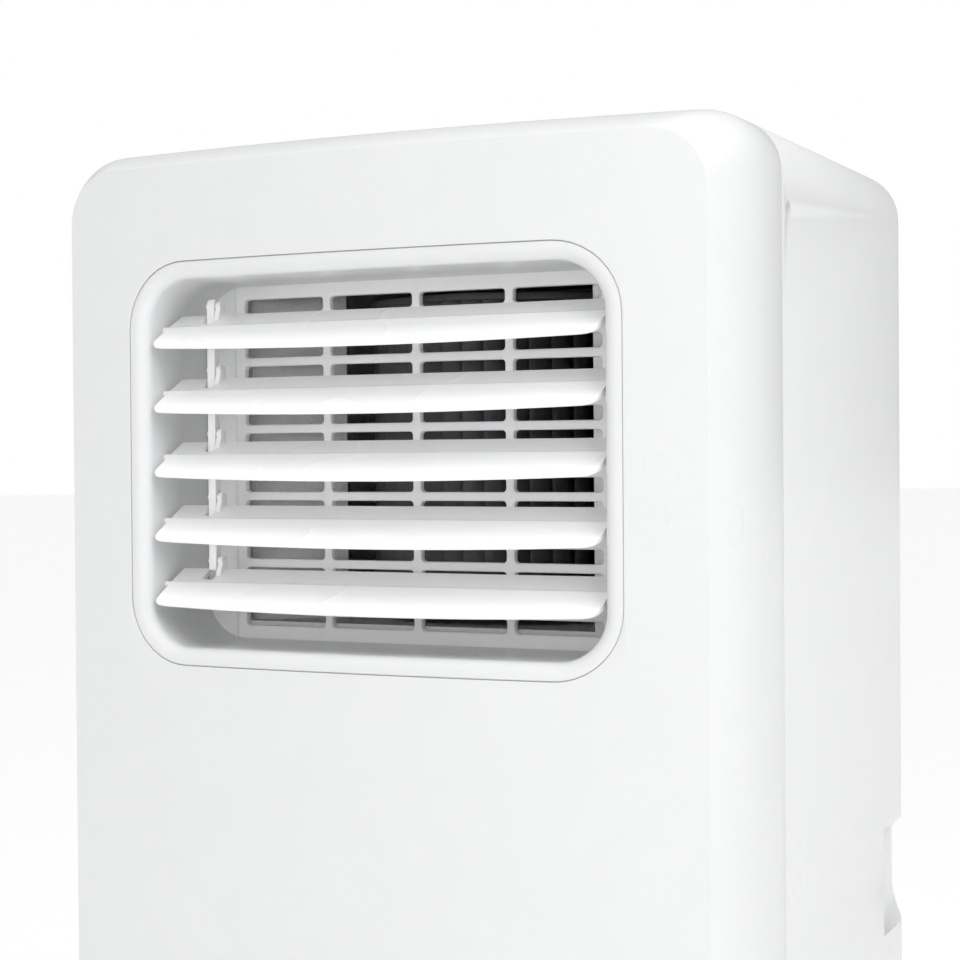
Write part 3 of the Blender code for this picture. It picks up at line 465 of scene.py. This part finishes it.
def front_edge(steps):
    """(draw, depth) points of the front edge, from the plateau's crease to where it meets the side."""
    depth = EDGE_RADIUS * math.sin(EDGE_ANGLE)
    turns = [EDGE_ANGLE * (1 - k / steps) for k in range(steps + 1)]
    return [(EDGE_RADIUS * (1 - math.cos(t)), depth - EDGE_RADIUS * math.sin(t)) for t in turns]


def on_front(outline, behind=0.0):
    return [(x, FRONT_Y + bow(x) + behind, z) for x, z in outline]


# ---------------------------------------------------------------- casing

def strips(shape, arches):
    """Faces between neighbouring open rows of vertices."""
    for near, far in zip(arches, arches[1:]):
        for k in range(len(near) - 1):
            shape.faces.new((near[k], near[k + 1], far[k + 1], far[k]))


def thicken(piece):
    """Gives a shell its wall, inwards."""
    shell = piece.modifiers.new("wall", "SOLIDIFY")
    shell.thickness = WALL
    shell.offset = -1.0
    settle(piece)


def front_panel():
    """The front shell: a bowed plateau round the outlet, a soft crease, rounded edges and straight sides."""
    window = outlet_loop(TRIM_HALF, TRIM_CORNER, GAP)
    edge = front_edge(12)
    plateau = arch(edge[0][0])
    open_count = len(plateau)
    right = HALF_WIDTH - edge[0][0]
    plateau += [(right, CASING_BOTTOM)] * ARC_STEPS
    plateau += [(x, CASING_BOTTOM) for x in reversed(TOP_STATIONS)]
    plateau += [(-right, CASING_BOTTOM)] * ARC_STEPS
    loops = []
    for share in PLATEAU_SHARES:
        blended = [(a[0] * (1 - share) + b[0] * share, a[1] * (1 - share) + b[1] * share)
                   for a, b in zip(window, plateau)]
        loops.append(on_front(blended))
    shape = bmesh.new()
    rings = [[shape.verts.new(p) for p in loop] for loop in loops]
    for near, far in zip(rings, rings[1:]):
        band(shape, near, far)
    arches = [rings[-1][:open_count]]
    for draw, depth in edge[1:]:
        arches.append([shape.verts.new(p) for p in on_front(arch(draw), depth)])
    arches.append([shape.verts.new((x, SEAM_FRONT, z)) for x, z in arch(0.0)])
    strips(shape, arches)
    bmesh.ops.remove_doubles(shape, verts=shape.verts, dist=1e-6)
    piece = link_mesh("front_panel_shell", shape)
    if sum(p.normal.y for p in piece.data.polygons) > 0:
        piece.data.flip_normals()
    thicken(piece)
    round_edges(piece, 0.0004, 3, 60.0)
    section = ((LEDGE_GROW[0], LEDGE_DEPTH[0]), (LEDGE_GROW[1], LEDGE_DEPTH[0]),
               (LEDGE_GROW[1], LEDGE_DEPTH[1]), (LEDGE_GROW[0], LEDGE_DEPTH[1]))
    ledge = skin("ledge", [on_front(outlet_loop(TRIM_HALF, TRIM_CORNER, grow), depth)
                           for grow, depth in section], wrap=True)
    return dress(merge("front_panel_shell", [piece, ledge]), "casing", "housing", "front_panel")


def rear_casing():
    """The rear shell with openings in its top and back, two hand grips and two screw recesses."""
    shape = bmesh.new()
    arches = [[shape.verts.new((x, SEAM_REAR, z)) for x, z in arch(0.0)]]
    for k in range(13):
        turn = math.pi / 2 * k / 12
        outline = arch(REAR_EDGE * (1 - math.cos(turn)))
        depth = REAR_Y - REAR_EDGE * (1 - math.sin(turn))
        arches.append([shape.verts.new((x, depth, z)) for x, z in outline])
    arches.append([shape.verts.new((x, REAR_Y, z)) for x, z in arch(REAR_EDGE + 0.001)])
    strips(shape, arches)
    shape.faces.new(arches[-1])
    casing = link_mesh("rear_casing_shell", shape)
    if sum(p.normal.y * p.area for p in casing.data.polygons) < 0:
        casing.data.flip_normals()
    thicken(casing)
    pockets = []
    removals = [box("top_hole", (-PANEL_HALF[0], PANEL_HALF[0]),
                    (PANEL_Y - PANEL_HALF[1], PANEL_Y + PANEL_HALF[1]), (HEIGHT - 0.01, HEIGHT + 0.01))]
    for node in ("upper_intake_grille", "lower_intake_grille"):
        low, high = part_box(node)
        xs, zs = (low.x - OPENING_GAP, high.x + OPENING_GAP), (low.z - OPENING_GAP, high.z + OPENING_GAP)
        removals.append(box("opening", xs, BACK_CUT, zs))
    for node, radius in (("exhaust_collar", HOSE_RADIUS), ("cord_gland", GLAND_RADIUS),
                         ("drain_plug", DRAIN_RADIUS)):
        low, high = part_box(node)
        middle = (low + high) / 2
        removals.append(prism("round_hole", circle((middle.x, middle.z), radius, 96), "Y", *BACK_CUT))
    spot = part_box("side_screw_right")
    screw = ((spot[0].y + spot[1].y) / 2, (spot[0].z + spot[1].z) / 2)
    for side in (-1, 1):
        backing = [(x * side, y) for x, y in GRIP_BACKING]
        pockets.append(prism("backing", backing, "Z", *GRIP_BACKING_Z))
        inside, mouth = GRIP_FLOOR * side, OUTSIDE * side
        corners = [(inside, GRIP_FLOOR_Z[0]), (inside, GRIP_FLOOR_Z[1]), (mouth, GRIP_MOUTH_Z[1])]
        for k in range(8):
            t = math.pi / 2 * k / 8
            rise = GRIP_SCOOP * (1 - math.cos(t))
            corners.append((mouth - (mouth - inside) * math.sin(t), GRIP_MOUTH_Z[0] + rise))
        removals.append(prism("grip", corners, "Y", GRIP_Y, OUTSIDE))
        boss_span = sorted(x * side for x in BOSS_SPAN)
        pockets.append(prism("boss", circle(screw, BOSS_RADIUS, 48), "X", *boss_span))
        bore_span = sorted(x * side for x in BORE_SPAN)
        removals.append(prism("bore", circle(screw, BORE_RADIUS, 48), "X", *bore_span))
    join(casing, *pockets)
    cut(casing, *removals)
    round_edges(casing, 0.0005, 2, 55.0)
    return dress(casing, "casing", "housing", "rear_casing")


# ---------------------------------------------------------------- air outlet

def outlet_trim():
    """The ring round the outlet: a rounded rim, a flat face along the bow, a full lip, and the throat."""
    back = GRILLE_BOX[0].y - GAP
    outline = outlet_loop(TRIM_HALF, TRIM_CORNER)
    flank = outlet_loop(TRIM_HALF, TRIM_CORNER, -FLANK_STEP)
    loops = [on_front(flank, SLEEVE_FRONT), on_front(flank, FLANK_STEP), on_front(outline, FLANK_STEP)]
    for k in range(5):
        t = math.pi / 2 * k / 4
        ring = outlet_loop(TRIM_HALF, TRIM_CORNER, -TRIM_RIM * (1 - math.cos(t)))
        loops.append(on_front(ring, TRIM_FACE + TRIM_RIM * (1 - math.sin(t))))
    loops.append(on_front(outlet_loop(THROAT_HALF, THROAT_CORNER, LIP_RADIUS + 0.0006), TRIM_FACE))
    for k in range(11):
        t = math.pi / 2 * k / 10
        ring = outlet_loop(THROAT_HALF, THROAT_CORNER, LIP_RADIUS * (1 - math.sin(t)))
        loops.append(on_front(ring, TRIM_FACE + LIP_RADIUS * (1 - math.cos(t))))
    throat = outlet_loop(THROAT_HALF, THROAT_CORNER)
    sleeve = outlet_loop(THROAT_HALF, THROAT_CORNER, SLEEVE_WALL)
    for depth in (*THROAT_DEPTHS, back):
        loops.append([(x, depth, z) for x, z in throat])
    loops.append([(x, back, z) for x, z in sleeve])
    loops.append(on_front(sleeve, SLEEVE_FRONT))
    trim = skin("outlet_trim_ring", loops, wrap=True)
    return dress(trim, "casing", "housing", "outlet_trim")


def slot_plate(name, xs, ys, zs, x_slots, z_slots, corner, edge):
    """A plate with a grid of oblong holes, each with rounded corners and a rounded front edge."""
    arc = 5
    shape = bmesh.new()

    def hole(x_slot, z_slot, grow, y):
        radius = corner + grow
        points = []
        for quarter, (x, z) in enumerate(((x_slot[1], z_slot[1]), (x_slot[0], z_slot[1]),
                                          (x_slot[0], z_slot[0]), (x_slot[1], z_slot[0]))):
            away = (1 if quarter in (0, 3) else -1, 1 if quarter < 2 else -1)
            centre = (x - away[0] * corner, z - away[1] * corner)
            for k in range(arc + 1):
                t = math.pi / 2 * (quarter + k / arc)
                points.append((centre[0] + radius * math.cos(t), y, centre[1] + radius * math.sin(t)))
        return points

    def frame_points(x_cell, z_cell, y):
        corners = ((x_cell[1], z_cell[1]), (x_cell[0], z_cell[1]),
                   (x_cell[0], z_cell[0]), (x_cell[1], z_cell[0]))
        return [(x, y, z) for x, z in corners for _ in range(arc + 1)]

    x_lines = [xs[0]] + [(a[1] + b[0]) / 2 for a, b in zip(x_slots, x_slots[1:])] + [xs[1]]
    z_lines = [zs[0]] + [(a[1] + b[0]) / 2 for a, b in zip(z_slots, z_slots[1:])] + [zs[1]]
    for x_slot, x_cell in zip(x_slots, zip(x_lines, x_lines[1:])):
        for z_slot, z_cell in zip(z_slots, zip(z_lines, z_lines[1:])):
            loops = [frame_points(x_cell, z_cell, ys[0])]
            for k in range(4):
                t = math.pi / 2 * k / 3
                depth = ys[0] + edge * (1 - math.cos(t))
                loops.append(hole(x_slot, z_slot, edge * (1 - math.sin(t)), depth))
            loops.append(hole(x_slot, z_slot, 0.0, ys[1]))
            loops.append(frame_points(x_cell, z_cell, ys[1]))
            rings = [[shape.verts.new(p) for p in loop] for loop in loops]
            for near, far in zip(rings, rings[1:]):
                band(shape, near, far)
    bmesh.ops.remove_doubles(shape, verts=shape.verts, dist=1e-6)
    rim = [e for e in shape.edges if e.is_boundary]
    bmesh.ops.bridge_loops(shape, edges=rim)
    return link_mesh(name, shape, 40.0)


def spans(count, pitch, size, middle):
    centres = [middle + (k - (count - 1) / 2) * pitch for k in range(count)]
    return [(c - size / 2, c + size / 2) for c in centres]


def outlet_grille():
    """The fixed plate behind the louvres, with a raised margin at its left."""
    low, high = GRILLE_BOX
    columns = spans(SLOT_COUNT[0], SLOT_PITCH[0], SLOT_SIZE[0], 0.0)
    rows = spans(SLOT_COUNT[1], SLOT_PITCH[1], SLOT_SIZE[1], OUTLET_Z)
    grille = slot_plate("outlet_grille_plate", (low.x, high.x), (low.y, high.y), (low.z, high.z),
                        columns, rows, SLOT_CORNER, SLOT_EDGE)
    margin = box("margin", (low.x + MARGIN_INSET, MARGIN_RIGHT), (low.y - 0.0012, low.y + 0.0010),
                 (low.z + MARGIN_INSET, high.z - MARGIN_INSET))
    round_edges(margin, 0.0004, 2, 50.0)
    return dress(merge("outlet_grille_plate", [grille, margin]), "grille", "housing", "outlet_grille")


def louvre_height(k):
    return OUTLET_Z + LOUVRE_RISE + LOUVRE_PITCH * (2 - k)


def louvre_section(reach):
    """(y, z) points of a blade's section: a thin rear edge, a fuller middle and a rounded nose."""
    upper = [(0.0120, 0.0004), (0.0116, 0.0008), (0.0070, 0.0010), (0.0020, 0.0012), (-0.0060, 0.0013),
             (-reach + 0.0040, 0.0013)]
    nose = []
    for k in range(9):
        t = math.radians(80 + 200 * k / 8)
        nose.append((-reach + 0.0013 + 0.0013 * math.cos(t), -0.0002 + 0.0014 * math.sin(t)))
    lower = [(-reach + 0.0038, -0.0014), (-0.0060, -0.0014), (0.0020, -0.0013), (0.0070, -0.0010),
             (0.0116, -0.0007), (0.0120, -0.0003)]
    return upper + nose + lower


def louvre_mesh():
    """One level louvre about its pivot: a blade with a bowed front edge, end pins, and a lug for the link."""
    shares = [k / 24 * LOUVRE_END for k in range(-24, 25)]
    ends = [LOUVRE_END + (1 - LOUVRE_END) * math.sin(math.pi / 2 * k / 8) for k in range(1, 9)]
    loops = []
    for share in [-e for e in reversed(ends)] + shares + ends:
        reach = LOUVRE_REACH + LOUVRE_BELLY * (1 - share ** 2)
        past = max(0.0, abs(share) - LOUVRE_END) / (1 - LOUVRE_END)
        drop = LOUVRE_DROP_RIGHT if share > 0 else LOUVRE_DROP_LEFT
        reach -= drop * (1 - math.sqrt(max(0.0, 1 - past ** 2)))
        loops.append([(share * LOUVRE_HALF, y, z) for y, z in louvre_section(reach)])
    blade = skin("blade", loops)
    end = LOUVRE_HALF + LOUVRE_PIN_END
    pin = prism("pin", circle((0, 0), PIN_RADIUS, 24), "X", -end, end)
    bar_left, bar_right = LINK_BOX[0].x, LINK_BOX[1].x
    notch = box("notch", (bar_left - NOTCH_GAPS[0], bar_right + NOTCH_GAPS[1]), NOTCH_Y, (-0.01, 0.01))
    turn = -LOUVRE_TILT
    pin_y = LINK_PIN[0] * math.cos(turn) - LINK_PIN[1] * math.sin(turn)
    pin_z = LINK_PIN[0] * math.sin(turn) + LINK_PIN[1] * math.cos(turn)
    crown = [(pin_y + LUG_RADIUS * math.cos(t), pin_z + LUG_RADIUS * math.sin(t))
             for t in (math.pi * k / 8 for k in range(9))]
    foot = [(pin_y - LUG_FOOT[0], 0.0), (LUG_FOOT[1], 0.0)]
    lug = prism("lug", foot + crown, "X", bar_right + NOTCH_GAPS[1], bar_right + LUG_END)
    stud = prism("stud", circle((pin_y, pin_z), STUD_RADIUS, 24), "X",
                 bar_left - STUD_ENDS[0], bar_right + STUD_ENDS[1])
    cut(blade, notch)
    join(blade, pin, lug, stud)
    mesh = blade.data
    bpy.data.objects.remove(blade)
    smooth(mesh, 38.0)
    return mesh


def louvres():
    mesh = louvre_mesh()
    tilt = Matrix.Rotation(LOUVRE_TILT, 4, "X")
    for k in range(LOUVRES):
        piece = bpy.data.objects.new(f"louvre_blade_{k + 1}", mesh.copy())
        SCENE.collection.objects.link(piece)
        piece.data.transform(Matrix.Translation((0, LOUVRE_Y, louvre_height(k))) @ tilt)
        dress(piece, "louvre", f"louvre_{k + 1}", f"louvre_{k + 1}")


def louvre_link():
    """A flat bar with a rounded top that ties the louvres together."""
    low, high = LINK_BOX
    y, half = (low.y + high.y) / 2, (high.y - low.y) / 2
    shoulder = high.z - LINK_TOP
    outline = [(y - half, low.z), (y + half, low.z)]
    turns = [math.pi * k / 16 for k in range(17)]
    outline += [(y + half * math.cos(t), shoulder + LINK_TOP * math.sin(t)) for t in turns]
    bar = prism("louvre_link_bar", outline, "X", low.x, high.x)
    round_edges(bar, 0.0005, 3, 50.0)
    spots = [(y, louvre_height(k) + LINK_PIN[1]) for k in range(LOUVRES)]
    holes = [prism("hole", circle(spot, PIN_RADIUS, 24), "X", low.x - 0.01, high.x + 0.01) for spot in spots]
    cut(bar, *holes)
    return dress(bar, "louvre", "louvre_link", "louvre_link")


# ---------------------------------------------------------------- air movers

BLOWER_BLADES = 43
BLOWER_SWEEP = -0.20
BLOWER_HUB = 0.022
EXHAUST_BLADES = 24
EXHAUST_SWEEP = 0.20
EXHAUST_HUB = 0.018
SHAFT_RADIUS = 0.0043
HUB_RADII = (0.012, 0.009)
DISC_INSET = 0.0005
DISC_HEIGHT = 0.0015
VANE_INSETS = (0.0135, 0.0015)
VANE_END = 0.0010
RIM_WIDTH = 0.0145
RIM_HEIGHT = 0.003
VANE_WALL = 0.0011


def fan_wheel(name, radius, length, blades, sweep, hub_height):
    """A drum of curved blades on a back disc, standing along +Z from z = 0."""
    disc = [(SHAFT_RADIUS, 0.0), (radius - DISC_INSET, 0.0), (radius - DISC_INSET, DISC_HEIGHT),
            (HUB_RADII[0], DISC_HEIGHT), (HUB_RADII[1], hub_height), (SHAFT_RADIUS, hub_height)]
    rim = [(radius - RIM_WIDTH, length - RIM_HEIGHT), (radius, length - RIM_HEIGHT), (radius, length),
           (radius - RIM_WIDTH, length)]
    parts = [turned("disc", disc), turned("rim", rim)]
    inner, outer = radius - VANE_INSETS[0], radius - VANE_INSETS[1]
    for k in range(blades):
        faces = []
        for side in (0.5, -0.5):
            line = []
            for step in range(9):
                share = step / 8
                reach = inner + (outer - inner) * share
                turn = math.tau * k / blades + sweep * share ** 1.6 + side * VANE_WALL / reach
                line.append((reach * math.cos(turn), reach * math.sin(turn)))
            faces += line if side > 0 else line[::-1]
        parts.append(prism("vane", faces, "Z", VANE_END, length - VANE_END))
    return merge(name, parts)


def blower_wheel():
    low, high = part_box("blower_wheel")
    wheel = fan_wheel("blower_wheel_drum", (high.x - low.x) / 2, high.z - low.z,
                      BLOWER_BLADES, BLOWER_SWEEP, BLOWER_HUB)
    wheel.data.transform(Matrix.Translation(((low.x + high.x) / 2, (low.y + high.y) / 2, low.z)))
    return dress(wheel, "fan", "blower_wheel", "blower_wheel")


def exhaust_wheel():
    low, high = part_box("exhaust_wheel")
    wheel = fan_wheel("exhaust_wheel_drum", (high.x - low.x) / 2, high.y - low.y,
                      EXHAUST_BLADES, EXHAUST_SWEEP, EXHAUST_HUB)
    place = Matrix.Translation(((low.x + high.x) / 2, low.y, (low.z + high.z) / 2))
    wheel.data.transform(place @ Matrix.Rotation(-math.pi / 2, 4, "X"))
    return dress(wheel, "fan", "exhaust_wheel", "exhaust_wheel")


# ---------------------------------------------------------------- CAD nodes kept, with their finish

def keep(slot, *names):
    for name in names:
        mesh = NODES[name].data
        mesh.materials.clear()
        mesh.materials.append(FINISH[slot])
        smooth(mesh)


def keep_cad_nodes():
    keep("casing", "upper_intake_grille", "lower_intake_grille", "exhaust_collar")
    keep("casing", "cord_gland", "drain_spout")
    keep("base", "base_pan", "drip_tray", "control_box", "scroll_lid")
    keep("control_plate", "control_panel")
    keep("button", *[f"button_{k}" for k in range(1, 7)])
    keep("display", "display_window")
    keep("foam", "blower_scroll")
    keep("screen", "filter_screen")
    keep("fan", "exhaust_scroll")
    keep("motor", "blower_motor", "exhaust_motor")
    keep("coil", "evaporator_coil", "condenser_coil")
    keep("compressor", "compressor", "accumulator")
    keep("copper", "suction_pipe", "discharge_pipe", "liquid_pipe")
    keep("rubber", *[f"compressor_foot_{k}" for k in range(1, 4)], "drain_plug")
    keep("rubber", *[f"caster_wheel_{k}" for k in range(1, 5)])
    keep("caster", *[f"caster_fork_{k}" for k in range(1, 5)])
    keep("board", "display_board", "main_board")
    keep("can", "capacitor")
    keep("screw", "side_screw_left", "side_screw_right")


# ---------------------------------------------------------------- stage

def floor():
    material, tree, shader = shader_nodes("pale_floor")
    shader.inputs["Base Color"].default_value = (0.96, 0.96, 0.96, 1.0)
    grain = noise_node(tree, 60.0)
    vary(tree, grain, 0.55, 0.65, shader.inputs["Roughness"])
    bpy.ops.mesh.primitive_circle_add(vertices=96, radius=30.0, fill_type="NGON", location=(0, 0, 0))
    plane = bpy.context.object
    plane.name = "floor"
    plane.data.materials.append(material)


def sun(name, place, energy, softness):
    """A broad, even light that comes from one side."""
    data = bpy.data.lights.new(name, "SUN")
    data.energy = energy
    data.angle = math.radians(softness)
    lamp = bpy.data.objects.new(name, data)
    lamp.visible_glossy = False
    SCENE.collection.objects.link(lamp)
    lamp.rotation_euler = Vector(place).to_track_quat("Z", "Y").to_euler()


def softbox(place, aim, size, power):
    """A square area light that fades with distance."""
    data = bpy.data.lights.new("softbox", "AREA")
    data.energy = power
    data.size = size
    lamp = bpy.data.objects.new("softbox", data)
    SCENE.collection.objects.link(lamp)
    lamp.location = place
    lamp.visible_glossy = False
    lamp.rotation_euler = (Vector(place) - Vector(aim)).to_track_quat("Z", "Y").to_euler()


def lights():
    world = bpy.data.worlds.new("studio")
    SCENE.world = world
    world.use_nodes = True
    tree = world.node_tree
    ambient = tree.nodes["Background"]
    ambient.inputs["Strength"].default_value = AMBIENT
    ambient.inputs["Color"].default_value = (1.0, 1.0, 1.0, 1.0)
    backdrop = tree.nodes.new("ShaderNodeBackground")
    backdrop.inputs["Strength"].default_value = BACKDROP
    backdrop.inputs["Color"].default_value = (1.0, 1.0, 1.0, 1.0)
    seen = tree.nodes.new("ShaderNodeLightPath")
    choice = tree.nodes.new("ShaderNodeMixShader")
    tree.links.new(seen.outputs["Is Camera Ray"], choice.inputs[0])
    tree.links.new(ambient.outputs[0], choice.inputs[1])
    tree.links.new(backdrop.outputs[0], choice.inputs[2])
    tree.links.new(choice.outputs[0], tree.nodes["World Output"].inputs["Surface"])
    softbox(SOFTBOX_PLACE, SOFTBOX_AIM, SOFTBOX_SIZE, SOFTBOX_POWER)
    for name, (place, energy, softness) in SUNS.items():
        sun(name, place, energy, softness)


def camera():
    data = bpy.data.cameras.new("camera")
    data.lens = CAMERA_LENS
    data.sensor_width = 36.0
    data.clip_start, data.clip_end = 0.05, 100.0
    level = Vector((math.cos(CAMERA_YAW), math.sin(CAMERA_YAW), 0.0))
    ahead = Vector((-math.sin(CAMERA_YAW) * math.cos(CAMERA_PITCH),
                    math.cos(CAMERA_YAW) * math.cos(CAMERA_PITCH), math.sin(CAMERA_PITCH)))
    over = level.cross(ahead)
    right = level * math.cos(CAMERA_ROLL) + over * math.sin(CAMERA_ROLL)
    up = over * math.cos(CAMERA_ROLL) - level * math.sin(CAMERA_ROLL)
    turn = Matrix((right, up, -ahead)).transposed().to_4x4()
    view = bpy.data.objects.new("camera", data)
    SCENE.collection.objects.link(view)
    view.matrix_world = Matrix.Translation(CAMERA_PLACE) @ turn
    SCENE.camera = view


def main():
    camera()
    keep_cad_nodes()
    front_panel()
    rear_casing()
    outlet_trim()
    outlet_grille()
    louvres()
    louvre_link()
    blower_wheel()
    exhaust_wheel()
    floor()
    lights()
    SCENE.view_settings.view_transform = "Standard"


main()
